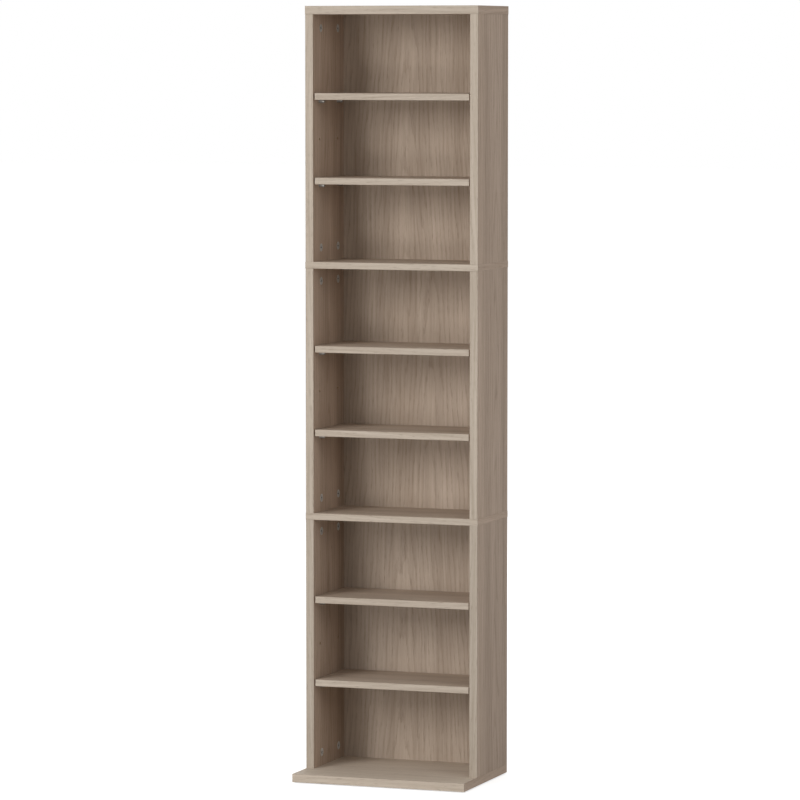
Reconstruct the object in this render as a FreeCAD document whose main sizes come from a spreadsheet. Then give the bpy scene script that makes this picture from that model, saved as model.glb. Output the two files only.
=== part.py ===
import FreeCAD, Part
import os
import re
import Sketcher

# Tall open storage tower for disc cases: three segments of sides stacked on a base board that reaches
# forward, held by cam fittings, with two loose shelves on pins in each segment and a thin back panel.
# X runs along the front, Y from front to back and Z up.
# The origin is on the floor, under the middle of the base board.

# Driving dimensions in millimetres: name, value, what it measures.
SIZES = (
    ("tower_width", 325, "over the outer faces of the sides"),
    ("side_depth", 165, "sides, front of the edge band to the rear edge"),
    ("base_reach", 70, "base board in front of the sides"),
    ("side_thickness", 15, "side panels"),
    ("base_thickness", 15, "base board"),
    ("top_thickness", 15, "top board"),
    ("link_thickness", 12, "connecting boards between the segments"),
    ("link_overhang", 0.5, "connecting and top boards past the outer faces of the sides"),
    ("shelf_thickness", 12, "loose shelves"),
    ("bottom_opening", 149, "clear height of the lowest tier"),
    ("tier_opening", 138, "clear height of the seven tiers between"),
    ("top_opening", 139.5, "clear height of the highest tier"),
    ("shelf_end_gap", 2, "between a shelf's end and the side"),
    ("shelf_setback", 2, "shelf front behind the front of the sides"),
    ("shelf_back_gap", 1, "between a shelf and the back panel"),
    ("band_thickness", 1, "edge bands"),
    ("band_rounding", 0.7, "rounded outer edges of the bands"),
    ("back_thickness", 3, "back panels"),
    ("groove_depth", 6, "groove for the back panel in a side"),
    ("groove_setback", 8, "groove in front of the side's rear edge"),
    ("groove_clearance", 0.2, "on each face of the back panel"),
    ("panel_gap", 1, "back panel's upright edges to the groove floors"),
    ("fixing_inset", 40, "cam fittings from the front and rear of the sides"),
    ("cam_setback", 24, "cam axis from the end of the side"),
    ("cam_radius", 7.5, "bore for a cam"),
    ("cam_skin", 3, "side left behind the cam's bore"),
    ("cam_clearance", 0.1, "cam in its bore, all round and behind"),
    ("recess_length", 7, "arms of the driver's cross in a cam"),
    ("recess_width", 1.6, "width of those arms"),
    ("bolt_radius", 3.4, "shank and head of a cam bolt"),
    ("bolt_clearance", 0.6, "round the shank and head"),
    ("neck_radius", 2, "neck under the head of a cam bolt"),
    ("neck_length", 4, "length of that neck"),
    ("head_length", 4, "head of a cam bolt"),
    ("thread_radius", 2.9, "thread of a cam bolt"),
    ("thread_clearance", 0.05, "round the thread"),
    ("dowel_radius", 4, "wooden dowels"),
    ("dowel_engage", 20, "dowel's length inside a side"),
    ("dowel_chamfer", 1, "chamfered ends of the dowels"),
    ("dowel_clearance", 0.05, "round a dowel"),
    ("board_skin", 5, "board left beyond a blind hole in the base and top boards"),
    ("drill_relief", 0.4, "blind hole deeper than what goes in"),
    ("pin_inset", 30, "shelf pins from the front and rear of the shelf"),
    ("pin_radius", 2.5, "peg of a shelf pin"),
    ("pin_length", 9, "peg's length inside the side"),
    ("pin_clearance", 0.05, "round the peg"),
    ("lug_radius", 4.5, "lug of a shelf pin"),
    ("lug_rise", 2, "lug's flat top above the axis of the peg"),
    ("lug_bearing", 8, "length of shelf resting on a lug"),
    ("glide_height", 2, "glides under the base board"),
    ("glide_radius", 9, "glides"),
    ("glide_inset", 25, "glide axis from the edges of the base board"),
    ("glide_chamfer", 0.6, "lower rim of the glides"),
    ("nail_radius", 1, "nail of a glide"),
    ("nail_clearance", 0.05, "round that nail"),
)

# Places and sizes that follow from the sheet, as formulas on its aliases.
BASE_DEPTH = "(base_reach + side_depth)"
BASE_FRONT = f"(-{BASE_DEPTH} / 2)"
SIDE_FRONT = f"({BASE_FRONT} + base_reach)"
SIDE_X = "((tower_width - side_thickness) / 2)"
INNER_X = "(tower_width / 2 - side_thickness)"
LINK_LENGTH = "(tower_width + 2 * link_overhang)"
FIXING_FRONT = "fixing_inset"
FIXING_REAR = "(side_depth - fixing_inset)"
DOWEL_PLACE = "(side_depth / 2)"
GROOVE_REAR = "(side_depth - groove_setback)"
GROOVE_FRONT = f"({GROOVE_REAR} - back_thickness - 2 * groove_clearance)"
BACK_FACE = f"({GROOVE_FRONT} + groove_clearance)"
SHELF_LENGTH = f"(2 * {INNER_X} - 2 * shelf_end_gap)"
SHELF_DEPTH = f"({BACK_FACE} - shelf_setback - shelf_back_gap)"
PIN_FRONT = "(shelf_setback + pin_inset)"
PIN_REAR = f"({BACK_FACE} - shelf_back_gap - pin_inset)"
CAM_DEPTH = "(side_thickness - cam_skin)"
BOLT_BORE = "(bolt_radius + bolt_clearance)"
CAM_PLATE = f"(side_thickness / 2 - {BOLT_BORE})"
BAND_ROUND = "min(band_rounding; 0.8 * band_thickness)"
THREAD_BORE = "(thread_radius + thread_clearance)"
DOWEL_BORE = "(dowel_radius + dowel_clearance)"
PIN_BORE = "(pin_radius + pin_clearance)"
NAIL_BORE = "(nail_radius + nail_clearance)"
LUG_LENGTH = "(shelf_end_gap + lug_bearing)"

# The three segments: name, clear heights of the tiers from the bottom up, what stands under the segment.
SEGMENTS = (
    ("lower", ("bottom_opening", "tier_opening", "tier_opening"), "(glide_height + base_thickness)"),
    ("middle", ("tier_opening", "tier_opening", "tier_opening"), "link_thickness"),
    ("upper", ("tier_opening", "tier_opening", "top_opening"), "link_thickness"),
)

# The connecting boards above the first two segments.
LINKS = ("lower", "upper")

ALIAS = re.compile(r"\b[a-z]\w*\b(?!\()")
UPRIGHT = FreeCAD.Rotation()
HALF_TURN_Z = FreeCAD.Rotation(FreeCAD.Vector(0, 0, 1), 180)
HALF_TURN_X = FreeCAD.Rotation(FreeCAD.Vector(1, 0, 0), 180)
SAME_PLACE = 1e-6
LEAST_CUT = 1e-3

doc = FreeCAD.newDocument("StorageTower")
sheet = doc.addObject("Spreadsheet::Sheet", "Sizes")
pieces = []


def fill_sheet():
    """One row for each driving dimension: its name, its number and what it measures."""
    for row, (alias, value, meaning) in enumerate(SIZES, start=1):
        sheet.set(f"A{row}", alias)
        sheet.set(f"B{row}", str(value))
        sheet.setAlias(f"B{row}", alias)
        sheet.set(f"C{row}", meaning)
    doc.recompute()


def bind(thing, prop, formula):
    """Tie a property to a formula on the sheet's aliases."""
    thing.setExpression(prop, ALIAS.sub(r"Sizes.\g<0>", formula))


def number(formula):
    """A formula's present value, used only as the first guess of a sketch."""
    return float(sheet.evalExpression(formula))


def place(thing, x, y, z):
    for axis, formula in zip("xyz", (x, y, z)):
        bind(thing, f"Placement.Base.{axis}", formula)


def new_body(label, x="0", y="0", z="0"):
    body = doc.addObject("PartDesign::Body", label)
    body.Label = label
    place(body, x, y, z)
    return body


def piece(thing):
    """Count a finished object among the sub-parts of the tower."""
    pieces.append(thing)
    return thing


def sketch_on(body, plane, offset="0"):
    """An empty sketch on one of the body's own origin planes, moved along the plane's normal."""
    sketch = body.newObject("Sketcher::SketchObject", f"{body.Name}_sketch")
    support = next(feature for feature in body.Origin.OriginFeatures if feature.Role == plane)
    sketch.AttachmentSupport = [(support, "")]
    sketch.MapMode = "FlatFace"
    bind(sketch, "AttachmentOffset.Base.z", offset)
    return sketch


def fix_point(sketch, geometry, point, u, v):
    """Hold a point of the sketch at formulas u and v from the sketch's origin."""
    for kind, formula in (("DistanceX", u), ("DistanceY", v)):
        rule = Sketcher.Constraint(kind, -1, 1, geometry, point, number(formula))
        bind(sketch, f"Constraints[{sketch.addConstraint(rule)}]", formula)


def outline(sketch, corners):
    """Closed straight-sided outline through corners given as pairs of formulas."""
    points = [FreeCAD.Vector(number(u), number(v), 0) for u, v in corners]
    last = len(points) - 1
    for index, start in enumerate(points):
        sketch.addGeometry(Part.LineSegment(start, points[index + 1 if index < last else 0]))
    for index, (u, v) in enumerate(corners):
        before = index - 1 if index else last
        sketch.addConstraint(Sketcher.Constraint("Coincident", before, 2, index, 1))
        fix_point(sketch, index, 1, u, v)


def rectangle(sketch, low_u, high_u, low_v, high_v):
    outline(sketch, ((low_u, low_v), (high_u, low_v), (high_u, high_v), (low_u, high_v)))


def circles(sketch, centres, radius):
    for u, v in centres:
        centre = FreeCAD.Vector(number(u), number(v), 0)
        index = sketch.addGeometry(Part.Circle(centre, FreeCAD.Vector(0, 0, 1), number(radius)))
        fix_point(sketch, index, 3, u, v)
        rule = Sketcher.Constraint("Radius", index, number(radius))
        bind(sketch, f"Constraints[{sketch.addConstraint(rule)}]", radius)


def pad(body, sketch, length, reverse=False):
    feature = body.newObject("PartDesign::Pad", f"{body.Name}_pad")
    feature.Profile = sketch
    feature.Reversed = reverse
    bind(feature, "Length", length)


def pocket(body, sketch, depth, along_normal=False):
    """Cut a sketch into the body, against the sketch's normal unless along_normal is set."""
    feature = body.newObject("PartDesign::Pocket", f"{body.Name}_pocket")
    feature.Profile = sketch
    feature.Reversed = along_normal
    bind(feature, "Length", depth)


def drill(body, plane, offset, centres, radius, depth, along_normal=False):
    """Round blind or through holes, all of one radius and depth, from one plane."""
    sketch = sketch_on(body, plane, offset)
    circles(sketch, centres, radius)
    pocket(body, sketch, depth, along_normal)


def dress_edges(body, kind, prop, formula, chosen):
    """Fillet or chamfer the edges of the body for which chosen(edge) is true."""
    doc.recompute()
    tip = body.Tip
    names = [f"Edge{i}" for i, edge in enumerate(tip.Shape.Edges, start=1) if chosen(edge)]
    feature = body.newObject(f"PartDesign::{kind}", f"{body.Name}_{kind.lower()}")
    feature.Base = (tip, names)
    bind(feature, prop, formula)


def board(label, x, y, z, low_x, high_x, low_y, high_y, thickness):
    """Rectangular board lying flat, drawn on its underside."""
    body = new_body(label, x, y, z)
    sketch = sketch_on(body, "XY_Plane")
    rectangle(sketch, low_x, high_x, low_y, high_y)
    pad(body, sketch, thickness)
    return body


def group(label, copies):
    """One sub-part made of placed copies: (master, x, y, z, rotation) for each."""
    links = []
    for master, x, y, z, rotation in copies:
        link = doc.addObject("App::Link", f"{label}_copy")
        link.LinkedObject = master
        link.Placement = FreeCAD.Placement(FreeCAD.Vector(), rotation)
        place(link, x, y, z)
        links.append(link)
    compound = doc.addObject("Part::Compound", label)
    compound.Label = label
    compound.Links = links
    return piece(compound)


def at_front(edge):
    """True for an edge lying in the plane y = 0, the outer face of a front band."""
    box = edge.BoundBox
    return max(abs(box.YMin), abs(box.YMax)) < SAME_PLACE


def front_band(label, length, thickness, x="0", y="0", z="0"):
    """Edge band along X on the front of a flat board, its outer edges rounded."""
    half = f"{length} / 2"
    body = board(label, x, y, z, f"-{half}", half, "0", "band_thickness", thickness)
    dress_edges(body, "Fillet", "Radius", BAND_ROUND, at_front)
    return body


def end_band(label, length, thickness):
    """Edge band along Y on the right end of a flat board, its outer long edges rounded."""
    half = f"{length} / 2"
    body = board(label, "0", "0", "0", "-band_thickness", "0", f"-{half}", half, thickness)

    def outer_and_long(edge):
        box = edge.BoundBox
        return max(abs(box.XMin), abs(box.XMax)) < SAME_PLACE and box.YLength > box.ZLength

    dress_edges(body, "Fillet", "Radius", BAND_ROUND, outer_and_long)
    return body


def board_bands(label, length, depth, thickness, y, z):
    """Bands of a full-width board: one along its front and one on each end."""
    front = front_band(f"{label}_front_master", length, thickness)
    end = end_band(f"{label}_end_master", f"({depth} - band_thickness)", thickness)
    end_y = f"{y} + ({depth} + band_thickness) / 2"
    group(f"{label}_bands", (
        (front, "0", y, z, UPRIGHT),
        (end, f"{length} / 2", end_y, z, UPRIGHT),
        (end, f"-{length} / 2", end_y, z, HALF_TURN_Z),
    ))


def side_bands(segment, length, z):
    """Upright bands on the front edges of a segment's two sides."""
    half = "side_thickness / 2"
    master = board(f"{segment}_side_band_master", "0", "0", "0",
                   f"-{half}", half, "0", "band_thickness", length)

    def upright_at_front(edge):
        return at_front(edge) and edge.BoundBox.ZLength > edge.BoundBox.XLength

    dress_edges(master, "Fillet", "Radius", BAND_ROUND, upright_at_front)
    group(f"{segment}_side_bands", (
        (master, f"-{SIDE_X}", SIDE_FRONT, z, UPRIGHT),
        (master, SIDE_X, SIDE_FRONT, z, UPRIGHT),
    ))


def fixing_places(from_front):
    """The four cam fittings of a board; from_front is where the sides' front lies in its frame."""
    return [
        (x, f"{from_front} + {y}")
        for x in (f"-{SIDE_X}", SIDE_X)
        for y in (FIXING_FRONT, FIXING_REAR)
    ]


def dowel_places(from_front):
    """The two dowels of a board, half way back under each side."""
    return [(x, f"{from_front} + {DOWEL_PLACE}") for x in (f"-{SIDE_X}", SIDE_X)]


def base_board():
    """Base board with blind holes for bolts and dowels above and for the glides' nails below."""
    half = "(tower_width / 2 - band_thickness)"
    body = board("base_board", "0", BASE_FRONT, "glide_height",
                 f"-{half}", half, "band_thickness", BASE_DEPTH, "base_thickness")
    depth = "(base_thickness - board_skin + drill_relief)"
    drill(body, "XY_Plane", "base_thickness", fixing_places("base_reach"), THREAD_BORE, depth)
    drill(body, "XY_Plane", "base_thickness", dowel_places("base_reach"), DOWEL_BORE, depth)
    nails = [
        (x, y)
        for x in ("-(tower_width / 2 - glide_inset)", "(tower_width / 2 - glide_inset)")
        for y in ("glide_inset", f"({BASE_DEPTH} - glide_inset)")
    ]
    drill(body, "XY_Plane", "0", nails, NAIL_BORE, depth, along_normal=True)
    piece(body)
    board_bands("base_board", "tower_width", BASE_DEPTH, "base_thickness", BASE_FRONT, "glide_height")


def top_board(z):
    """Top board over the upper sides, with blind holes in its underside."""
    half = f"({LINK_LENGTH} / 2 - band_thickness)"
    body = board("top_board", "0", SIDE_FRONT, z,
                 f"-{half}", half, "band_thickness", "side_depth", "top_thickness")
    depth = "(top_thickness - board_skin + drill_relief)"
    drill(body, "XY_Plane", "0", fixing_places("0"), THREAD_BORE, depth, along_normal=True)
    drill(body, "XY_Plane", "0", dowel_places("0"), DOWEL_BORE, depth, along_normal=True)
    piece(body)
    board_bands("top_board", LINK_LENGTH, "side_depth", "top_thickness", SIDE_FRONT, z)


def connecting_board(label, z):
    """Full-width board between two segments, drilled right through for double bolts and long dowels."""
    half = f"({LINK_LENGTH} / 2 - band_thickness)"
    body = board(label, "0", SIDE_FRONT, z,
                 f"-{half}", half, "band_thickness", "side_depth", "link_thickness")
    drill(body, "XY_Plane", "0", fixing_places("0"), BOLT_BORE, "link_thickness", along_normal=True)
    drill(body, "XY_Plane", "0", dowel_places("0"), DOWEL_BORE, "link_thickness", along_normal=True)
    piece(body)
    board_bands(label, LINK_LENGTH, "side_depth", "link_thickness", SIDE_FRONT, z)


def side_panel(segment, hand, length, pin_heights, z):
    """Side of a segment: grooved for the back panel and drilled for cams, bolts, dowels and shelf pins."""
    left = hand == "left"
    half = "side_thickness / 2"
    body = board(f"{segment}_{hand}_side", f"-{SIDE_X}" if left else SIDE_X, SIDE_FRONT, z,
                 f"-{half}", half, "band_thickness", "side_depth", length)
    inner = half if left else f"-{half}"
    groove_floor = f"({half} - groove_depth)" if left else f"(groove_depth - {half})"
    groove_span = (groove_floor, inner) if left else (inner, groove_floor)
    groove = sketch_on(body, "XY_Plane")
    rectangle(groove, *groove_span, GROOVE_FRONT, GROOVE_REAR)
    pocket(body, groove, length, along_normal=True)
    bolts = [("0", FIXING_FRONT), ("0", FIXING_REAR)]
    dowel = [("0", DOWEL_PLACE)]
    for end, from_below in (("0", True), (length, False)):
        drill(body, "XY_Plane", end, bolts, BOLT_BORE, "cam_setback", from_below)
        drill(body, "XY_Plane", end, dowel, DOWEL_BORE, "(dowel_engage + drill_relief)", from_below)
    cam_heights = ("cam_setback", f"({length} - cam_setback)")
    cam_bores = [(y, height) for y in (FIXING_FRONT, FIXING_REAR) for height in cam_heights]
    drill(body, "YZ_Plane", inner, cam_bores, "cam_radius", CAM_DEPTH, along_normal=not left)
    pins = [(y, f"({height} - lug_rise)") for y in (PIN_FRONT, PIN_REAR) for height in pin_heights]
    drill(body, "YZ_Plane", inner, pins, PIN_BORE, "(pin_length + drill_relief)", along_normal=not left)
    piece(body)


def back_panel(segment, length, z):
    """Thin panel held between the boards below and above, its upright edges in the grooves of the sides."""
    half = f"({INNER_X} + groove_depth - panel_gap)"
    piece(board(f"{segment}_back_panel", "0", f"{SIDE_FRONT} + {BACK_FACE}", z, f"-{half}", half,
                "0", "back_thickness", length))


def shelf(label, z):
    """Loose shelf and the band on its front edge."""
    half = f"({SHELF_LENGTH} / 2)"
    front = f"({SIDE_FRONT} + shelf_setback)"
    piece(board(label, "0", front, z,
                f"-{half}", half, "band_thickness", SHELF_DEPTH, "shelf_thickness"))
    piece(front_band(f"{label}_band", SHELF_LENGTH, "shelf_thickness", "0", front, z))


def turned(label, profile):
    """Solid of revolution about Z from a half outline of (radius, height) formulas."""
    body = new_body(label)
    sketch = sketch_on(body, "XZ_Plane")
    outline(sketch, profile)
    feature = body.newObject("PartDesign::Revolution", f"{body.Name}_turn")
    feature.Profile = sketch
    feature.ReferenceAxis = (sketch, ["V_Axis"])
    return body


def bolt_end(side, foot):
    """Half outline of a bolt's shank, neck and head from the height foot, up for side 1 or down for -1."""
    heights = (
        f"({foot} + {side} * (cam_setback - head_length / 2 - neck_length))",
        f"({foot} + {side} * (cam_setback - head_length / 2))",
        f"({foot} + {side} * (cam_setback + head_length / 2))",
    )
    return [
        ("bolt_radius", heights[0]),
        ("neck_radius", heights[0]),
        ("neck_radius", heights[1]),
        ("bolt_radius", heights[1]),
        ("bolt_radius", heights[2]),
        ("0", heights[2]),
    ]


def cam_bolt(label, board_thickness):
    """Bolt with a thread for a board below height 0 and a head for a cam above it."""
    tip = f"(board_skin - {board_thickness})"
    return turned(label, [
        ("0", tip), ("thread_radius", tip), ("thread_radius", "0"), ("bolt_radius", "0"),
        *bolt_end(1, "0"),
    ])


def double_bolt(label):
    """Bolt with a head at each end, through a connecting board that lies on height 0."""
    return turned(label, [*reversed(bolt_end(-1, "0")), *bolt_end(1, "link_thickness")])


def cam_bolts(label, master, z, rotation=UPRIGHT):
    group(label, [(master, x, y, z, rotation) for x, y in fixing_places(SIDE_FRONT)])


def cam_master():
    """Cam about X, its face in the plane x = 0, slotted from behind for a bolt that comes from below."""
    body = new_body("cam_master")
    face = sketch_on(body, "YZ_Plane")
    circles(face, [("0", "0")], "(cam_radius - cam_clearance)")
    pad(body, face, f"({CAM_DEPTH} - cam_clearance)", reverse=True)
    slot = sketch_on(body, "YZ_Plane", f"-{CAM_PLATE}")
    rectangle(slot, f"-{BOLT_BORE}", BOLT_BORE, "-cam_radius", "(head_length / 2 + bolt_clearance)")
    pocket(body, slot, CAM_DEPTH)
    arm = "recess_length / 2"
    half = "recess_width / 2"
    cross = sketch_on(body, "YZ_Plane")
    outline(cross, [
        (f"-{half}", f"-{arm}"), (half, f"-{arm}"), (half, f"-{half}"), (arm, f"-{half}"),
        (arm, half), (half, half), (half, arm), (f"-{half}", arm),
        (f"-{half}", half), (f"-{arm}", half), (f"-{arm}", f"-{half}"), (f"-{half}", f"-{half}"),
    ])
    pocket(body, cross, f"{CAM_PLATE} / 2")
    return body


def cams(segment, master, length, z):
    """Eight cams of a segment: at the front and rear of both ends of both sides."""
    hands = ((f"-{INNER_X}", UPRIGHT), (INNER_X, HALF_TURN_Z))
    ends = ((f"{z} + cam_setback", UPRIGHT), (f"{z} + {length} - cam_setback", HALF_TURN_X))
    group(f"{segment}_cams", [
        (master, x, f"{SIDE_FRONT} + {y}", height, about_z * about_x)
        for x, about_z in hands
        for height, about_x in ends
        for y in (FIXING_FRONT, FIXING_REAR)
    ])


def dowels(label, low, high, z):
    """Two dowels reaching from low below the height z to high above it."""
    master = new_body(f"{label}_master")
    sketch = sketch_on(master, "XY_Plane", f"-{low}")
    circles(sketch, [("0", "0")], "dowel_radius")
    pad(master, sketch, f"({low} + {high})")
    chamfer = "min(dowel_chamfer; dowel_radius / 2)"
    dress_edges(master, "Chamfer", "Size", chamfer, lambda edge: edge.isClosed())
    group(label, [(master, x, y, z, UPRIGHT) for x, y in dowel_places(SIDE_FRONT)])


def pin_master():
    """Shelf pin along X: a peg behind the plane x = 0, a lug before it with its flat top at height 0."""
    body = new_body("pin_master")
    axis = [("0", "-lug_rise")]
    peg = sketch_on(body, "YZ_Plane")
    circles(peg, axis, "pin_radius")
    pad(body, peg, "pin_length", reverse=True)
    lug = sketch_on(body, "YZ_Plane")
    circles(lug, axis, "lug_radius")
    pad(body, lug, LUG_LENGTH)
    flat = sketch_on(body, "YZ_Plane")
    rectangle(flat, "-lug_radius", "lug_radius", "0", "lug_radius")
    pocket(body, flat, LUG_LENGTH, along_normal=True)
    return body


def shelf_pins(label, master, z):
    group(label, [
        (master, x, f"{SIDE_FRONT} + {y}", z, rotation)
        for x, rotation in ((f"-{INNER_X}", UPRIGHT), (INNER_X, HALF_TURN_Z))
        for y in (PIN_FRONT, PIN_REAR)
    ])


def glides():
    """Four nail-on glides near the corners of the base board."""
    rim = "min(glide_chamfer; glide_height / 2)"
    nail_top = "(glide_height + base_thickness - board_skin)"
    master = turned("glide_master", [
        ("0", "0"), (f"(glide_radius - {rim})", "0"), ("glide_radius", rim),
        ("glide_radius", "glide_height"), ("nail_radius", "glide_height"),
        ("nail_radius", nail_top), ("0", nail_top),
    ])
    across = "(tower_width / 2 - glide_inset)"
    along = f"({BASE_DEPTH} / 2 - glide_inset)"
    group("glides", [
        (master, f"{side} * {across}", f"{end} * {along}", "0", UPRIGHT)
        for side in (-1, 1)
        for end in (-1, 1)
    ])


def tower():
    """Build from the floor up: glides and base, then each segment with the board above it."""
    cam = cam_master()
    pin = pin_master()
    twin = double_bolt("double_bolt_master")
    glides()
    base_board()
    z = "0"
    shelf_number = 0
    for level, (segment, openings, board_below) in enumerate(SEGMENTS):
        z = f"({z} + {board_below})"
        length = f"({' + '.join(openings)} + 2 * shelf_thickness)"
        shelf_heights = [openings[0], f"({openings[0]} + shelf_thickness + {openings[1]})"]
        pin_heights = [*shelf_heights, f"({length} / 2)"]
        for hand in ("left", "right"):
            side_panel(segment, hand, length, pin_heights, z)
        side_bands(segment, length, z)
        back_panel(segment, length, z)
        cams(segment, cam, length, z)
        for height in shelf_heights:
            shelf_number += 1
            shelf(f"shelf_{shelf_number}", f"{z} + {height}")
            shelf_pins(f"shelf_{shelf_number}_pins", pin, f"{z} + {height}")
        if level == 0:
            cam_bolts("base_cam_bolts", cam_bolt("base_bolt_master", "base_thickness"), z)
            dowels("base_dowels", "(base_thickness - board_skin)", "dowel_engage", z)
        z = f"({z} + {length})"
        if level < len(LINKS):
            link = LINKS[level]
            connecting_board(f"{link}_connecting_board", z)
            cam_bolts(f"{link}_double_bolts", twin, z)
            dowels(f"{link}_connecting_dowels", "dowel_engage", "(dowel_engage + link_thickness)", z)
        else:
            top_board(z)
            cam_bolts("top_cam_bolts", cam_bolt("top_bolt_master", "top_thickness"), z, HALF_TURN_X)
            dowels("top_dowels", "dowel_engage", "(top_thickness - board_skin)", z)


def check():
    """Stop on a failed object, an empty or invalid shape, or a pocket that removed nothing."""
    for thing in doc.Objects:
        if {"Invalid", "Error"} & set(thing.State):
            raise RuntimeError(f"{thing.Label} failed: {thing.State}")
        if thing.TypeId == "PartDesign::Pocket":
            if thing.BaseFeature.Shape.Volume - thing.Shape.Volume < LEAST_CUT:
                raise RuntimeError(f"{thing.Label} cuts nothing")
    for thing in pieces:
        if thing.Shape.isNull() or not thing.Shape.isValid() or not thing.Shape.Solids:
            raise RuntimeError(f"{thing.Label} has no valid solid")


fill_sheet()
tower()
doc.recompute()
check()
os.makedirs("parts", exist_ok=True)
for thing in pieces:
    thing.Shape.exportStep(f"parts/{thing.Label}.step")
print(f"{len(pieces)} sub-parts, {sum(len(thing.Shape.Solids) for thing in pieces)} solids")
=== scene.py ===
"""Open storage tower of oak-faced board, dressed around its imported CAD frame.

The frame is loaded first. Each operator then finishes one group of pieces, and the stage comes last.
Lengths are in metres: X runs along the front, Y from front to back and Z up.
"""

import functools
import math

import bmesh
import bpy
import numpy as np
from bpy.props import FloatProperty, FloatVectorProperty, PointerProperty
from bpy.types import Operator, Panel, PropertyGroup
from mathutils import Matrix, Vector


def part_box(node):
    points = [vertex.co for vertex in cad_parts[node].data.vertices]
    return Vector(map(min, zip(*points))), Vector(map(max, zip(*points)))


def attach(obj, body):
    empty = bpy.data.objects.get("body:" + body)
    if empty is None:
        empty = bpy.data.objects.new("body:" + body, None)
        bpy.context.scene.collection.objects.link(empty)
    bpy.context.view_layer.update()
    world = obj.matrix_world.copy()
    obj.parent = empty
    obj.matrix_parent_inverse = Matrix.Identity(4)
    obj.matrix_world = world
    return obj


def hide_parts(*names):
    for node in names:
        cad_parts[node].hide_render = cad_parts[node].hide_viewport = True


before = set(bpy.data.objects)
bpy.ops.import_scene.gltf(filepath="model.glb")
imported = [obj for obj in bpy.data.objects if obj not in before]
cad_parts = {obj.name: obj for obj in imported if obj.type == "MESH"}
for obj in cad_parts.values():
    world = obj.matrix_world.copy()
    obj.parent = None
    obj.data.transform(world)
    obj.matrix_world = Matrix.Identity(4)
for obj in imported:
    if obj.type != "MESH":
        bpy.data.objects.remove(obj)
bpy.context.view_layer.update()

bl_info = {
    "name": "Storage tower dressing",
    "version": (1, 0, 0),
    "blender": (4, 5, 0),
    "location": "3D View > Sidebar > Tower",
    "description": "Finishes the boards, edge bands and fittings of an open storage tower",
    "category": "Object",
}

# Names in the frame.
CARCASS = "carcass"
SEGMENTS = ("lower", "middle", "upper")
HANDS = ("left", "right")
SHELVES = tuple(f"shelf_{number}" for number in range(1, 7))
SHELVES_IN_SEGMENT = 2
BASE_BOARD = "base_board"
WIDE_BOARDS = (BASE_BOARD, "lower_connecting_board", "upper_connecting_board", "top_board")
BACKS = tuple(f"{segment}_back_panel" for segment in SEGMENTS)
BOLTS = ("base_cam_bolts", "lower_double_bolts", "upper_double_bolts", "top_cam_bolts")
DOWELS = ("base_dowels", "lower_connecting_dowels", "upper_connecting_dowels", "top_dowels")

# Directions, and those of an edge band: along it, out from its board and across it.
RIGHTWARD = (1.0, 0.0, 0.0)
LEFTWARD = (-1.0, 0.0, 0.0)
FORWARD = (0.0, -1.0, 0.0)
BACKWARD = (0.0, 1.0, 0.0)
UPWARD = (0.0, 0.0, 1.0)
FRONT_BAND = np.array((RIGHTWARD, FORWARD, UPWARD))
UPRIGHT_BAND = np.array((UPWARD, FORWARD, RIGHTWARD))
LEFT_END_BAND = np.array((BACKWARD, LEFTWARD, UPWARD))
RIGHT_END_BAND = np.array((BACKWARD, RIGHTWARD, UPWARD))

# Turns of the pattern that bring its first axis along the grain and its third into the board.
LYING = (0.0, 0.0, 0.0)
STANDING = (0.0, math.pi / 2, 0.0)
HANGING = (math.pi / 2, 0.0, math.pi / 2)

# Shift of a pattern that stays where it is.
UNMOVED = (0.0, 0.0, 0.0)

# How light the foil of a piece is, where 1 is its own tone.
PLAIN_SHADE = 1.0
# Painted shade: the lower and middle segments, with their bands and back panels, are darker, as light falls
# off towards the floor.
PAINTED_SEGMENT_SHADES = {"lower": 0.90, "middle": 0.97, "upper": 1.0}
# Painted light: the base board is lighter, a painted sheen on its top, and its front band lighter, painted
# light on a front nearer the lamps.
BASE_PAINTED_SHEEN = 1.22
BASE_FRONT_PAINTED_LIGHT = 1.1
END_SHADE = 1.03

# Seeds and ranges that shifts of the grain are drawn from: on the boards, and along the roll of band.
BOARD_SEED = 41
BOARD_SHIFTS = ((-3.0, -0.05, -2.0), (3.0, 0.05, 2.0))
BAND_SEED = 17
BAND_SHIFTS = ((-20.0, -2.0), (20.0, 2.0))


def box(node):
    """Lowest and highest corner of a CAD node as arrays."""
    low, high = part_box(node)
    return np.array(low), np.array(high)


def band_thickness():
    """Thickness of the edge bands as the frame has it."""
    return float(box("shelf_1")[0][1] - box("shelf_1_band")[0][1])


# Sizes and colours a user would change.

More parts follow.
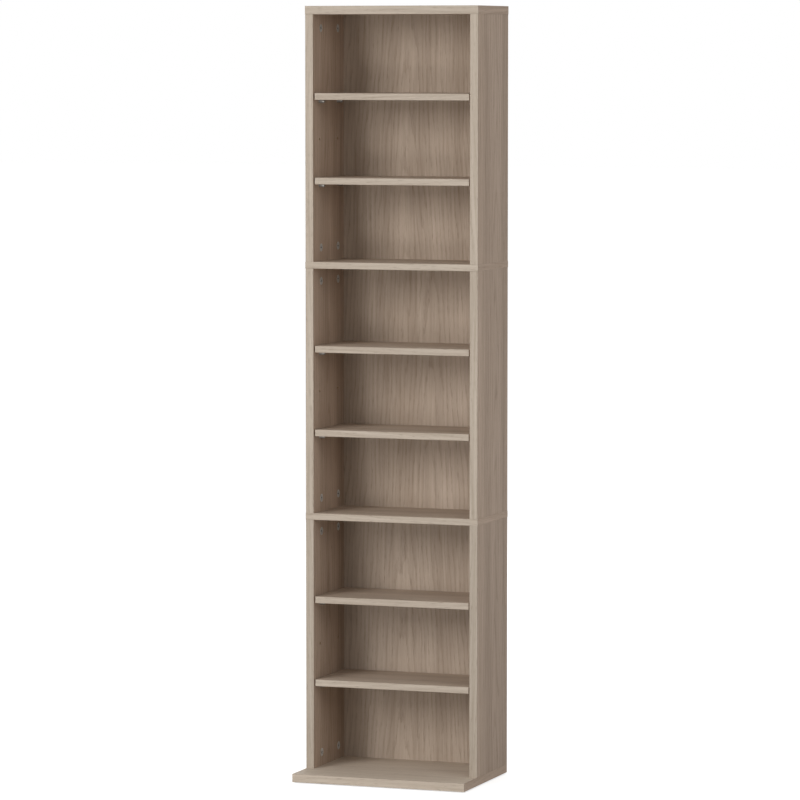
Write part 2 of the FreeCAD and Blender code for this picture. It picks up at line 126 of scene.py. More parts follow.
class TowerOak(PropertyGroup):
    """Colours and surface of the oak foil and of what it covers."""

    # Painted shade in part: the sides' tones are warmer than the boards', both for the warm shade the sides
    # stand in and for a print that differs a little.
    side_light: FloatVectorProperty(
        name="Sides, pale grain", description="Palest tone of the sides and of the bands on board ends",
        subtype="COLOR", size=3, min=0, max=1, default=(0.575, 0.444, 0.348))
    side_dark: FloatVectorProperty(
        name="Sides, dark grain", description="Darkest tone of the sides and of the bands on board ends",
        subtype="COLOR", size=3, min=0, max=1, default=(0.340, 0.246, 0.177))
    board_light: FloatVectorProperty(
        name="Boards, pale grain", description="Palest tone of the base and of the front bands",
        subtype="COLOR", size=3, min=0, max=1, default=(0.550, 0.474, 0.392))
    board_dark: FloatVectorProperty(
        name="Boards, dark grain", description="Darkest tone of the base and of the front bands",
        subtype="COLOR", size=3, min=0, max=1, default=(0.372, 0.304, 0.238))
    pore: FloatVectorProperty(
        name="Pores", description="Colour printed in the pores of the oak",
        subtype="COLOR", size=3, min=0, max=1, default=(0.20, 0.15, 0.11))
    chip_light: FloatVectorProperty(
        name="Pale chips", description="Palest chips on the bare edges of the boards",
        subtype="COLOR", size=3, min=0, max=1, default=(0.60, 0.45, 0.30))
    chip_dark: FloatVectorProperty(
        name="Dark chips", description="Darkest chips on the bare edges of the boards",
        subtype="COLOR", size=3, min=0, max=1, default=(0.28, 0.18, 0.105))
    hardboard: FloatVectorProperty(
        name="Hardboard", description="Bare rear of the back panels",
        subtype="COLOR", size=3, min=0, max=1, default=(0.325, 0.197, 0.108))
    figure: FloatProperty(
        name="Figure", description="Strength of the arched growth rings",
        subtype="FACTOR", min=0, max=1, default=0.55)
    satin: FloatProperty(
        name="Satin", description="Roughness of the foil between its pores",
        subtype="FACTOR", min=0.05, max=1, default=0.55)
    relief: FloatProperty(
        name="Relief", description="Depth of the embossed pores",
        unit="LENGTH", min=0, max=0.001, default=0.00012)


class TowerEdging(PropertyGroup):
    """Shape of the edge bands."""

    rounding: FloatProperty(
        name="Rounding", description="Radius of the bands' outer edges",
        unit="LENGTH", min=0.0001, max=0.0009, default=0.0007)
    thickness: FloatProperty(
        name="Thickness", description="How far a band stands out from the board",
        unit="LENGTH", min=0.0005, max=0.003, default=band_thickness())


class TowerFittings(PropertyGroup):
    """Colours and small sizes of the metal and plastic fittings."""

    zinc: FloatVectorProperty(
        name="Zinc", description="Cast cams", subtype="COLOR", size=3, min=0, max=1,
        default=(0.68, 0.68, 0.67))
    nickel: FloatVectorProperty(
        name="Nickel", description="Shelf pins", subtype="COLOR", size=3, min=0, max=1,
        default=(0.40, 0.385, 0.36))
    steel: FloatVectorProperty(
        name="Steel", description="Bolts and nails", subtype="COLOR", size=3, min=0, max=1,
        default=(0.62, 0.61, 0.58))
    beech: FloatVectorProperty(
        name="Beech", description="Dowels", subtype="COLOR", size=3, min=0, max=1,
        default=(0.60, 0.43, 0.26))
    glide: FloatVectorProperty(
        name="Glides", description="Plastic of the glides", subtype="COLOR", size=3, min=0, max=1,
        default=(0.75, 0.73, 0.69))
    collar_radius: FloatProperty(
        name="Collar radius", description="Collar of a shelf pin, against the side",
        unit="LENGTH", min=0.003, max=0.006, default=0.0045)
    collar_thickness: FloatProperty(
        name="Collar thickness", description="Less than the gap beside a shelf",
        unit="LENGTH", min=0.0005, max=0.0015, default=0.001)
    lug_radius: FloatProperty(
        name="Lug radius", description="Lug of a shelf pin, under its flat top",
        unit="LENGTH", min=0.002, max=0.0045, default=0.0039)
    lug_reach: FloatProperty(
        name="Lug reach", description="How far a shelf pin stands out of the side",
        unit="LENGTH", min=0.005, max=0.014, default=0.010)
    glide_radius: FloatProperty(
        name="Glide radius", description="Disc of a glide", unit="LENGTH", min=0.006, max=0.015,
        default=0.009)


class TowerStudio(PropertyGroup):
    """Light and camera."""

    ambient: FloatProperty(
        name="Ambient", description="Even light from all round, where 1 shows a colour as written",
        min=0, max=2, default=0.43)
    key: FloatProperty(
        name="Key light", description="Large lamp in front, to the left and above",
        unit="POWER", min=0, default=195.0)
    fill: FloatProperty(
        name="Fill light", description="Weak lamp to the right", unit="POWER", min=0, default=22.0)
    low: FloatProperty(
        name="Low light", description="Weak lamp in front, near the floor", unit="POWER", min=0,
        default=9.0)
    rear: FloatProperty(
        name="Rear light", description="Weak lamp behind", unit="POWER", min=0, default=26.0)
    camera_place: FloatVectorProperty(
        name="Camera place", description="Where the camera stands", subtype="TRANSLATION", size=3,
        default=(2.757863, -7.593880, 1.306452))
    camera_tilt: FloatProperty(
        name="Camera tilt", description="Turn of the camera from looking straight down",
        subtype="ANGLE", default=math.radians(90 - 4.42237))
    camera_turn: FloatProperty(
        name="Camera turn", description="Turn of the camera about the upright axis",
        subtype="ANGLE", default=math.radians(19.962))
    lens: FloatProperty(
        name="Lens", description="Focal length on a 36 mm sensor", unit="CAMERA", min=10, max=400,
        default=204.315)


# Shader trees.

class Wiring:
    """Adds nodes to one shader tree and joins them; values that are sockets are linked."""

    def __init__(self, tree):
        self.tree = tree

    def add(self, kind, inputs=None, **settings):
        """A new node with its settings and its inputs."""
        made = self.tree.nodes.new(kind)
        for name, value in settings.items():
            setattr(made, name, value)
        self.feed(made, inputs or {})
        return made

    def feed(self, node, inputs):
        """Link or set inputs of a node, each by its name or number."""
        for key, value in inputs.items():
            socket = node.inputs[key]
            if isinstance(value, bpy.types.NodeSocket):
                self.tree.links.new(value, socket)
            elif socket.type == "RGBA":
                socket.default_value = (*value, 1.0)
            else:
                socket.default_value = value

    def math(self, operation, first, second=0.0):
        """One step of arithmetic on a number or two."""
        return self.add("ShaderNodeMath", {0: first, 1: second}, operation=operation).outputs[0]

    def total(self, *values):
        """Sum of the values, taken in order."""
        return functools.reduce(functools.partial(self.math, "ADD"), values)

    def product(self, *values):
        """Product of the values, taken in order."""
        return functools.reduce(functools.partial(self.math, "MULTIPLY"), values)

    def vector(self, operation, first, second):
        """One step of arithmetic on two vectors; a dot product gives a number."""
        made = self.add("ShaderNodeVectorMath", {0: first, 1: second}, operation=operation)
        return made.outputs["Value" if operation == "DOT_PRODUCT" else "Vector"]

    def axes(self, place):
        """The three numbers of a place, by the names X, Y and Z."""
        return self.add("ShaderNodeSeparateXYZ", {0: place}).outputs

    def noise(self, place, stretch, detail=2.0, roughness=0.5):
        """Soft noise from 0 to 1; stretch is the number of waves to the metre along each axis."""
        scaled = self.vector("MULTIPLY", place, stretch)
        inputs = {"Vector": scaled, "Scale": 1.0, "Detail": detail, "Roughness": roughness}
        return self.add("ShaderNodeTexNoise", inputs).outputs["Fac"]

    def about(self, value, weight):
        """The value less a half, times a weight: a swing either way of nothing."""
        return self.product(self.math("SUBTRACT", value, 0.5), weight)

    def clamp(self, value):
        """The value kept from 0 to 1."""
        return self.add("ShaderNodeClamp", {"Value": value}).outputs[0]

    def ramp(self, value, low, high, start=0.0, end=1.0):
        """Smooth step of the value from low to high, put out as start to end."""
        inputs = {"Value": value, "From Min": low, "From Max": high, "To Min": start, "To Max": end}
        made = self.add("ShaderNodeMapRange", inputs, interpolation_type="SMOOTHSTEP")
        return made.outputs["Result"]

    def blend(self, share, first, second):
        """Colour between two colours."""
        return self.add("ShaderNodeMix", {0: share, 6: first, 7: second}, data_type="RGBA").outputs[2]

    def between(self, share, first, second):
        """Number between two numbers."""
        return self.add("ShaderNodeMix", {0: share, 2: first, 3: second}, data_type="FLOAT").outputs[0]

    def shaders(self, share, first, second):
        """Shader between the shaders of two nodes."""
        inputs = {0: share, 1: first.outputs[0], 2: second.outputs[0]}
        return self.add("ShaderNodeMixShader", inputs)


SOCKETS = {"vector": "NodeSocketVector", "colour": "NodeSocketColor", "value": "NodeSocketFloat"}


def node_group(name, inputs, outputs):
    """An empty shader group with the named sockets: (group, wiring, its inputs, node of its outputs)."""
    group = bpy.data.node_groups.new(name, "ShaderNodeTree")
    for label, kind in inputs.items():
        group.interface.new_socket(name=label, in_out="INPUT", socket_type=SOCKETS[kind])
    for label, kind in outputs.items():
        group.interface.new_socket(name=label, in_out="OUTPUT", socket_type=SOCKETS[kind])
    wiring = Wiring(group)
    source = wiring.add("NodeGroupInput")
    sink = wiring.add("NodeGroupOutput")
    return group, wiring, source.outputs, sink


def built_once(build):
    """For a function that builds the shader group of its own name: later calls give the same group."""
    @functools.wraps(build)
    def group():
        return bpy.data.node_groups.get(build.__name__) or build()
    return group


# Oak print: waves to the metre of its layers along the grain, across it and into the board.
SWAY_WAVES = (1.3, 4.0, 4.0)
STRIPE_WAVES = (1.0, 24.0, 24.0)
STREAK_WAVES = (4.0, 170.0, 170.0)
FIBRE_WAVES = (15.0, 1100.0, 1100.0)
HEART_WAVES = (0.0, 0.0, 9.0)
RAGGED_WAVES = (9.0, 60.0, 60.0)
PORE_WAVES = (70.0, 2100.0, 2100.0)

# Its rings: metres that grain and heart wander, the width counted as one, rings to that width and to the
# metre along the grain, the bluntness of the arches and the raggedness of a ring.
SWAY = 0.05
HEART_WANDER = 0.16
RING_WIDTH = 0.045
RINGS_ACROSS = 5.5
RINGS_ALONG = 6.5
ARCH_BLUNTNESS = 0.15
RAGGEDNESS = 1.6

# Summer wood: the share of a ring at which it is full and at which it ends, and its middle tone.
SUMMER_FULL = 0.45
SUMMER_END = 0.93
SUMMER_MIDDLE = 0.6

# Its tone and pores: weights of the rings and fibres, the noise at which a pore starts and is full, the
# pores left in summer wood, their ink, and what pores, streaks and fibres add to roughness and height.
MIDDLE_TONE = 0.5
ARCH_WEIGHT = 0.45
FIBRE_WEIGHT = 0.5
PORE_STEP = (0.58, 0.68)
SUMMER_PORES = 0.35
PORE_INK = 0.55
PORE_ROUGHNESS = 0.16
STREAK_ROUGHNESS = 0.12
FIBRE_HEIGHT = 0.35


@built_once
def oak_foil():
    """Printed oak over (along the grain, across it, into the board).

    The ring number is RINGS_ACROSS times the root of (across squared + ARCH_BLUNTNESS), plus RINGS_ALONG
    times along, plus a ragged noise, with across counted in RING_WIDTH from a heart line that wanders.
    Rings run straight away from the heart and close in long arches over it. Broad stripes, streaks, fibres
    and rings add up to a tone between two colours. Pores are short dark dashes, thicker where a ring begins.
    """
    group, w, source, sink = node_group(
        "oak_foil",
        {"Place": "vector", "Pale": "colour", "Dark": "colour", "Pore": "colour", "Stripes": "value",
         "Streaks": "value", "Figure": "value", "Satin": "value", "Shade": "value"},
        {"Colour": "colour", "Roughness": "value", "Height": "value"})
    place = source["Place"]
    sway = w.about(w.noise(place, SWAY_WAVES, detail=1.0), SWAY)
    bent = w.vector("ADD", place, w.add("ShaderNodeCombineXYZ", {"Y": sway}).outputs[0])
    stripes = w.noise(bent, STRIPE_WAVES)
    streaks = w.noise(bent, STREAK_WAVES, detail=4.0, roughness=0.6)
    fibres = w.noise(bent, FIBRE_WAVES)

    axes = w.axes(bent)
    depth = w.add("ShaderNodeCombineXYZ", {"Z": axes["Z"]}).outputs[0]
    heart = w.about(w.noise(depth, HEART_WAVES, detail=0.0), HEART_WANDER)
    across = w.math("DIVIDE", w.math("SUBTRACT", axes["Y"], heart), RING_WIDTH)
    away = w.math("SQRT", w.total(w.product(across, across), ARCH_BLUNTNESS))
    ragged = w.about(w.noise(bent, RAGGED_WAVES), RAGGEDNESS)
    rings = w.total(w.product(away, RINGS_ACROSS), w.product(axes["X"], RINGS_ALONG), ragged)
    season = w.math("FRACT", rings)
    rise = w.ramp(season, 0.0, SUMMER_FULL)
    summer = w.product(rise, w.ramp(season, SUMMER_END, 1.0, start=1.0, end=0.0))
    strength = w.product(source["Figure"], ARCH_WEIGHT)
    arches = w.product(w.math("SUBTRACT", summer, SUMMER_MIDDLE), strength)

    tone = w.clamp(w.total(
        w.about(stripes, source["Stripes"]), w.about(streaks, source["Streaks"]),
        w.about(fibres, FIBRE_WEIGHT), arches, MIDDLE_TONE))
    dashes = w.ramp(w.noise(bent, PORE_WAVES, detail=1.0), *PORE_STEP)
    pores = w.product(dashes, w.between(summer, 1.0, SUMMER_PORES))
    wood = w.blend(tone, source["Dark"], source["Pale"])
    printed = w.blend(w.product(pores, PORE_INK), wood, source["Pore"])
    dullness = w.product(pores, PORE_ROUGHNESS)
    w.feed(sink, {
        "Colour": w.vector("MULTIPLY", printed, source["Shade"]),
        "Roughness": w.total(source["Satin"], dullness, w.about(streaks, STREAK_ROUGHNESS)),
        "Height": w.math("SUBTRACT", w.product(fibres, FIBRE_HEIGHT), pores)})
    return group


# Particle board: waves to the metre of its layers, metres that chips are moved, the weights of chips and
# dust in tone and height, and the distance from a chip's middle over which its rim darkens.
CHIP_DRIFT_WAVES = 160.0
CHIP_DRIFT = (0.004, 0.004, 0.001)
CHIP_WAVES = (260.0, 260.0, 800.0)
CHIP_WEIGHT = 0.75
CHIP_RIM = (0.35, 0.75)
CHIP_RIM_SHADE = 0.55
DUST_WAVES = (1800.0, 1800.0, 1800.0)
DUST_WEIGHT = 0.3
DUST_HEIGHT = 0.4


@built_once
def chip_core():
    """Bare particle board over (along, across, into the board): flat chips, each cell with its own tone."""
    group, w, source, sink = node_group(
        "chip_core", {"Place": "vector", "Pale": "colour", "Dark": "colour"},
        {"Colour": "colour", "Height": "value"})
    place = source["Place"]
    drift = w.add("ShaderNodeTexNoise", {"Vector": place, "Scale": CHIP_DRIFT_WAVES, "Detail": 2.0})
    moved = w.vector("ADD", place, w.vector("MULTIPLY", drift.outputs["Color"], CHIP_DRIFT))
    flat = w.vector("MULTIPLY", moved, CHIP_WAVES)
    chips = w.add("ShaderNodeTexVoronoi", {"Vector": flat, "Scale": 1.0})
    tone = w.add("ShaderNodeSeparateColor", {0: chips.outputs["Color"]}).outputs[0]
    dust = w.noise(place, DUST_WAVES)
    mixed = w.total(w.product(tone, CHIP_WEIGHT), w.product(dust, DUST_WEIGHT))
    rim = w.ramp(chips.outputs["Distance"], *CHIP_RIM, start=1.0, end=CHIP_RIM_SHADE)
    shade = w.product(mixed, rim)
    w.feed(sink, {
        "Colour": w.blend(shade, source["Dark"], source["Pale"]),
        "Height": w.total(shade, w.product(dust, DUST_HEIGHT))})
    return group


# Metal: waves to the metre of its tarnish and grains, the noise over which tarnish sets in, its colour and
# share, and what tarnish and grains add to the roughness.
TARNISH_WAVES = (260.0, 260.0, 260.0)
TARNISH_STEP = (0.35, 0.75)
TARNISH = (0.12, 0.115, 0.11)
TARNISH_TINT = 0.4
TARNISH_COVER = 0.6
TARNISH_ROUGHNESS = 0.16
METAL_GRAIN_WAVES = (3200.0, 3200.0, 3200.0)
METAL_GRAIN_ROUGHNESS = 0.1


@built_once
def rubbed_metal():
    """Metal handled in the making: clouds of tarnish and fine grains over a place."""
    group, w, source, sink = node_group(
        "rubbed_metal", {"Place": "vector", "Metal": "colour", "Polish": "value"},
        {"Colour": "colour", "Roughness": "value", "Height": "value"})
    clouds = w.noise(source["Place"], TARNISH_WAVES, detail=3.0)
    grains = w.noise(source["Place"], METAL_GRAIN_WAVES)
    dull = w.ramp(clouds, *TARNISH_STEP)
    dark = w.blend(TARNISH_TINT, source["Metal"], TARNISH)
    dullness = w.product(dull, TARNISH_ROUGHNESS)
    w.feed(sink, {
        "Colour": w.blend(w.product(dull, TARNISH_COVER), source["Metal"], dark),
        "Roughness": w.total(source["Polish"], dullness, w.about(grains, METAL_GRAIN_ROUGHNESS)),
        "Height": grains})
    return group


# Sides: waves to the metre of height and metres that their figure wanders, where the sapwood begins to
# fade and is gone, the middle and half width of the vein, and the tones of both beside the rest.
WANDER_WAVES = (0.0, 0.0, 3.5)
WANDER = 0.02
SAP_START = -0.030
SAP_END = -0.006
SAP_TONE = 0.10
VEIN_MIDDLE = 0.093
VEIN_REACH = 0.009
VEIN_TONE = 0.11
REST_TONE = 0.98


@built_once
def sap_and_vein():
    """Tone of a side from front to rear: pale sapwood in front, a dark vein that wanders near the rear.

    Sapwood fades from SAP_START to SAP_END, and the vein is the product of two smooth steps either side
    of VEIN_MIDDLE; both are measured along Y, which a slow noise along the height shifts a little.
    """
    group, w, source, sink = node_group(
        "sap_and_vein", {"Place": "vector", "Shade": "value"}, {"Tone": "value"})
    wander = w.about(w.noise(source["Place"], WANDER_WAVES, detail=1.0), WANDER)
    depth = w.total(w.axes(source["Place"])["Y"], wander)
    sap = w.ramp(depth, SAP_START, SAP_END, start=SAP_TONE, end=0.0)
    rise = w.ramp(depth, VEIN_MIDDLE - VEIN_REACH, VEIN_MIDDLE)
    fall = w.ramp(depth, VEIN_MIDDLE, VEIN_MIDDLE + VEIN_REACH, start=1.0, end=0.0)
    vein = w.product(rise, fall, VEIN_TONE)
    tone = w.total(w.math("SUBTRACT", sap, vein), REST_TONE)
    w.feed(sink, {"Tone": w.product(tone, source["Shade"])})
    return group


# Hardboard: waves to the metre of its layers, their weights about a middle tone, the noise over which a
# fleck of bark sets in and its darkness, the pitch of the screen and the height of the fibres beside it.
CLOUD_WAVES = (14.0, 14.0, 14.0)
CLOUD_WEIGHT = 0.8
FELT_WAVES = (700.0, 1500.0, 1500.0)
FELT_WEIGHT = 1.2
FELT_HEIGHT = 1.5
HARDBOARD_TONE = 0.55
BARK_WAVES = (160.0, 420.0, 420.0)
BARK_STEP = (0.64, 0.74)
BARK_DARKNESS = 0.4
SCREEN_PITCH = 0.0024


@built_once
def bare_hardboard():
    """Rear of a back panel over (along, across, into the panel).

    Felted fibres over broad clouds, with flecks of bark, give a tone between two browns. The relief is
    the print of a wire screen, the product of two sines whose wave is SCREEN_PITCH long, roughened by
    the fibres.
    """
    group, w, source, sink = node_group(
        "bare_hardboard", {"Place": "vector", "Pale": "colour", "Dark": "colour"},
        {"Colour": "colour", "Height": "value"})
    place = source["Place"]
    clouds = w.about(w.noise(place, CLOUD_WAVES, detail=4.0, roughness=0.65), CLOUD_WEIGHT)
    felt = w.noise(place, FELT_WAVES, detail=3.0, roughness=0.6)
    bark = w.ramp(w.noise(place, BARK_WAVES), *BARK_STEP, end=BARK_DARKNESS)
    plain = w.total(clouds, w.total(w.about(felt, FELT_WEIGHT), HARDBOARD_TONE))
    tone = w.clamp(w.math("SUBTRACT", plain, bark))
    axes = w.axes(place)
    turns = 2 * math.pi / SCREEN_PITCH
    screen = w.product(*(w.math("SINE", w.product(axes[axis], turns)) for axis in ("X", "Y")))
    w.feed(sink, {
        "Colour": w.blend(tone, source["Dark"], source["Pale"]),
        "Height": w.total(screen, w.product(felt, FELT_HEIGHT))})
    return group


# Least cosine between a face and an axis at which the face counts as square to it.
SQUARE = 0.6


@built_once
def foil_mask():
    """1 on faces square to an axis, 0 on cut edges and in holes; Both counts the far face as well."""
    group, w, source, sink = node_group(
        "foil_mask", {"Normal": "vector", "Axis": "vector", "Both": "value"}, {"Foil": "value"})
    facing = w.vector("DOT_PRODUCT", source["Normal"], source["Axis"])
    either = w.between(source["Both"], facing, w.math("ABSOLUTE", facing))
    w.feed(sink, {"Foil": w.math("GREATER_THAN", either, SQUARE)})
    return group


# Materials.

# Weights of the stripes and streaks in the tone of a board's foil and of an edge band's.
BOARD_CUT = (1.3, 1.1)
BAND_CUT = (0.4, 1.5)

# The foil's specular level, the figure left on a band, and how far a band's rims go to the pore colour as
# painted shade.
FOIL_GLOSS = 0.1
BAND_FIGURE = 0.45
RIM_PAINTED_SHADE = 0.45

# Roughness of bare surfaces and of each metal, and how metallic zinc is under its oxide.
CHIP_ROUGHNESS = 0.85
HARDBOARD_ROUGHNESS = 0.8
BEECH_ROUGHNESS = 0.7
NICKEL_ROUGHNESS = 0.45
ZINC_ROUGHNESS = 0.45
NAIL_ROUGHNESS = 0.32
BOLT_ROUGHNESS = 0.3
ZINC_METALLIC = 0.7

# Pale and dark tones of a wood beside its own colour.
HARDBOARD_TONES = (1.4, 0.62)
BEECH_TONES = (1.15, 0.75)
BEECH_PORE = 0.5

# Depth of the relief.
METAL_RELIEF = 0.00003
PLASTIC_RELIEF = 0.00004
BEECH_RELIEF = 0.0001

# Cross recess of a cam, darkened with painted shade: the depths over which it darkens, how far it does and
# to which colour.
RECESS_STEP = (0.0001, 0.0014)
RECESS_PAINTED_SHADE = 0.85
RECESS_SHADE_COLOUR = (0.05, 0.048, 0.045)

# Mottle of the plastic: waves to the metre, the noise over which it darkens, its darkest tint, the noise
# over which it dulls, and its roughness from first to last.
MOTTLE_WAVES = (300.0, 300.0, 300.0)
MOTTLE_STEP = (0.3, 0.8)
MOTTLE_TINT = 0.8
DULL_STEP = (0.3, 0.7)
PLASTIC_ROUGHNESS = (0.4, 0.6)


def emptied(block):
    """Wiring of a material's or a world's shader tree, cleared of its nodes."""
    block.use_nodes = True
    block.node_tree.nodes.clear()
    return Wiring(block.node_tree)


def new_material(name):
    """A material with nothing in its tree but the shader and the output: (material, wiring, shader)."""
    material = bpy.data.materials.new(name)
    wiring = emptied(material)
    shader = wiring.add("ShaderNodeBsdfPrincipled")
    wiring.add("ShaderNodeOutputMaterial", {"Surface": shader.outputs[0]})
    return material, wiring, shader


def tinted(colour, share):
    """A colour times a share, kept within white."""
    return tuple(min(1.0, share * part) for part in colour)


def placed(wiring, turn=LYING, shift=UNMOVED, layer=None):
    """The piece's own coordinates, or a layer of its own, turned to the grain and shifted."""
    if layer:
        start = wiring.add("ShaderNodeUVMap", uv_map=layer).outputs[0]
    else:
        start = wiring.add("ShaderNodeTexCoord").outputs["Object"]
    made = wiring.add("ShaderNodeMapping", {"Vector": start, "Rotation": turn, "Location": shift})
    return made.outputs[0]


def grouped(wiring, group, inputs):
    """A node that stands for a group, with its inputs set: its outputs."""
    return wiring.add("ShaderNodeGroup", inputs, node_tree=group).outputs


def surface(wiring, shader, colour, roughness, height, relief):
    """Colour, roughness and bumps of a material; relief is how deep the whole height goes."""
    bump = wiring.add("ShaderNodeBump", {"Height": height, "Distance": relief, "Strength": 1.0})
    wiring.feed(shader, {"Base Color": colour, "Roughness": roughness, "Normal": bump.outputs[0]})


def foil_over(wiring, oak, place, tones, shade, figure=1.0, cut=BOARD_CUT):
    """Oak foil in a pair of tones, pale and dark; cut gives the weights of its stripes and streaks."""
    return grouped(wiring, oak_foil(), {
        "Place": place, "Pale": tones[0], "Dark": tones[1], "Pore": oak.pore, "Stripes": cut[0],
        "Streaks": cut[1], "Figure": figure * oak.figure, "Satin": oak.satin, "Shade": shade})


def partly_covered(wiring, shader, oak, foil, bare, bare_roughness, axis, both):
    """Foil on the faces square to an axis, on both of them or on the one that faces it; else bare board."""
    normal = wiring.add("ShaderNodeTexCoord").outputs["Normal"]
    covered = grouped(wiring, foil_mask(), {"Normal": normal, "Axis": axis, "Both": both})["Foil"]
    surface(
        wiring, shader,
        wiring.blend(covered, bare["Colour"], foil["Colour"]),
        wiring.between(covered, bare_roughness, foil["Roughness"]),
        wiring.between(covered, bare["Height"], foil["Height"]),
        oak.relief)
    shader.inputs["Specular IOR Level"].default_value = FOIL_GLOSS


def side_tones(oak):
    """Pale and dark tone of the sides."""
    return oak.side_light, oak.side_dark


def board_tones(oak):
    """Pale and dark tone of the base and of the front bands."""
    return oak.board_light, oak.board_dark


def face_tones(oak):
    """Half way between the sides and the fronts."""
    pairs = zip(side_tones(oak), board_tones(oak))
    return tuple(tuple(0.5 * (a + b) for a, b in zip(*pair)) for pair in pairs)


def board_material(name, oak, tones, turn, axis, shift, shade, sapwood=False):
    """Oak foil on the two faces square to axis, bare chips on every cut edge and in every hole."""
    material, w, shader = new_material(name)
    place = placed(w, turn, shift)
    if sapwood:
        own = w.add("ShaderNodeTexCoord").outputs["Object"]
        shade = grouped(w, sap_and_vein(), {"Place": own, "Shade": shade})["Tone"]
    foil = foil_over(w, oak, place, tones, shade)
    core = grouped(w, chip_core(), {"Place": place, "Pale": oak.chip_light, "Dark": oak.chip_dark})
    partly_covered(w, shader, oak, foil, core, CHIP_ROUGHNESS, axis, both=1.0)
    return material


def back_material(name, oak, shift, shade):
    """Oak foil in front, bare hardboard behind."""
    material, w, shader = new_material(name)
    place = placed(w, HANGING, shift)
    foil = foil_over(w, oak, place, face_tones(oak), shade)
    pale, dark = (tinted(oak.hardboard, share) for share in HARDBOARD_TONES)
    raw = grouped(w, bare_hardboard(), {"Place": place, "Pale": pale, "Dark": dark})
    partly_covered(w, shader, oak, foil, raw, HARDBOARD_ROUGHNESS, FORWARD, both=0.0)
    return material


def band_material(name, oak, tones):
    """Printed edge band; its grain follows the band's own length, and its rounded rims are darkened a little
    with painted shade.
    """
    material, w, shader = new_material(name)
    place = placed(w, layer="grain")
    shade = w.add("ShaderNodeAttribute", attribute_name="shade").outputs["Fac"]
    foil = foil_over(w, oak, place, tones, shade, BAND_FIGURE, BAND_CUT)
    rim = w.add("ShaderNodeAttribute", attribute_name="rim").outputs["Fac"]
    rim_shaded = w.blend(w.product(rim, RIM_PAINTED_SHADE), foil["Colour"], oak.pore)
    surface(w, shader, rim_shaded, foil["Roughness"], foil["Height"], oak.relief)
    shader.inputs["Specular IOR Level"].default_value = FOIL_GLOSS
    return material


def metal_material(name, metal, roughness):
    """Plated metal with clouds of tarnish."""
    material, w, shader = new_material(name)
    rubbed = grouped(w, rubbed_metal(), {"Place": placed(w), "Metal": metal, "Polish": roughness})
    surface(w, shader, rubbed["Colour"], rubbed["Roughness"], rubbed["Height"], METAL_RELIEF)
    shader.inputs["Metallic"].default_value = 1.0
    return material


def cam_material(name, metal, face):
    """Cast zinc under a film of oxide, with painted shade in its cross recess.

    The painted shade is where X, either way, lies beyond face, the place of the sides' inner faces.
    """
    material, w, shader = new_material(name)
    place = placed(w)
    rubbed = grouped(w, rubbed_metal(), {"Place": place, "Metal": metal, "Polish": ZINC_ROUGHNESS})
    across = w.math("ABSOLUTE", w.axes(place)["X"])
    # Painted shade in the cross recess.
    recess = w.ramp(across, *(face + depth for depth in RECESS_STEP), end=RECESS_PAINTED_SHADE)
    colour = w.blend(recess, rubbed["Colour"], RECESS_SHADE_COLOUR)
    surface(w, shader, colour, rubbed["Roughness"], rubbed["Height"], METAL_RELIEF)
    shader.inputs["Metallic"].default_value = ZINC_METALLIC
    return material


def plastic_material(name, colour):
    """Moulded plastic with a faint mottle, duller where it is darker."""
    material, w, shader = new_material(name)
    mottle = w.noise(placed(w), MOTTLE_WAVES, detail=3.0)
    mixed = w.blend(w.ramp(mottle, *MOTTLE_STEP), colour, tinted(colour, MOTTLE_TINT))
    roughness = w.ramp(mottle, *DULL_STEP, *PLASTIC_ROUGHNESS)
    surface(w, shader, mixed, roughness, mottle, PLASTIC_RELIEF)
    return material


def beech_material(name, colour):
    """Bare beech along the height: the stripes, streaks and pores of the oak, without its rings."""
    material, w, shader = new_material(name)
    pale, dark = (tinted(colour, share) for share in BEECH_TONES)
    grain = grouped(w, oak_foil(), {
        "Place": placed(w, STANDING), "Pale": pale, "Dark": dark, "Pore": tinted(colour, BEECH_PORE),
        "Stripes": BOARD_CUT[0], "Streaks": BOARD_CUT[1], "Figure": 0.0, "Satin": BEECH_ROUGHNESS,
        "Shade": PLAIN_SHADE})
    surface(w, shader, grain["Colour"], grain["Roughness"], grain["Height"], BEECH_RELIEF)
    return material


def dress(node, material):
    """Give a CAD node one material in every slot that it has."""
    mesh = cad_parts[node].data
    if not mesh.materials:
        mesh.materials.append(material)
    for index in range(len(mesh.materials)):
        mesh.materials[index] = material


# Shapes.

# Edge band: steps round its edges, the supporting line beyond them in roundings, points on a straight run.
ARC_STEPS = 6
SUPPORT = 1.3
RUN_POINTS = 5

# Angles from flat to upright, for the small roundings of the fittings.
QUARTER_TURN = np.linspace(0.0, np.pi / 2, 6)


def stations(length, rounding, rounded=True):
    """Places along an edge, even where its ends aren't rounded.

    Over a rounded end they are rounding times (1 - cos t) for even angles t up to upright, with one
    supporting line beyond it, and the run between the two ends is even.
    """
    if not rounded:
        return np.linspace(0.0, length, RUN_POINTS)
    turn = np.linspace(0.0, np.pi / 2, ARC_STEPS + 1)
    near = np.append(rounding * (1 - np.cos(turn)), rounding * SUPPORT)
    middle = np.linspace(near[-1], length - near[-1], RUN_POINTS)[1:-1]
    return np.concatenate([near, middle, length - near[::-1]])


def grid_quads(rows, columns, start=0):
    """Corner numbers of the quads of a grid whose points are numbered row by row."""
    numbers = np.arange(rows * columns).reshape(rows, columns) + start
    corners = (numbers[:-1, :-1], numbers[1:, :-1], numbers[1:, 1:], numbers[:-1, 1:])
    return np.stack(corners, -1).reshape(-1, 4)


def border(rows, columns):
    """Numbers of the points round the edge of a grid, in order."""
    numbers = np.arange(rows * columns).reshape(rows, columns)
    return np.concatenate([numbers[:-1, 0], numbers[-1, :-1], numbers[:0:-1, -1], numbers[0, :0:-1]])


def skirt(upper, lower):
    """Quads that join closed rows of points to others."""
    corners = (upper, np.roll(upper, -1, -1), np.roll(lower, -1, -1), lower)
    return np.stack(corners, -1).reshape(-1, 4)


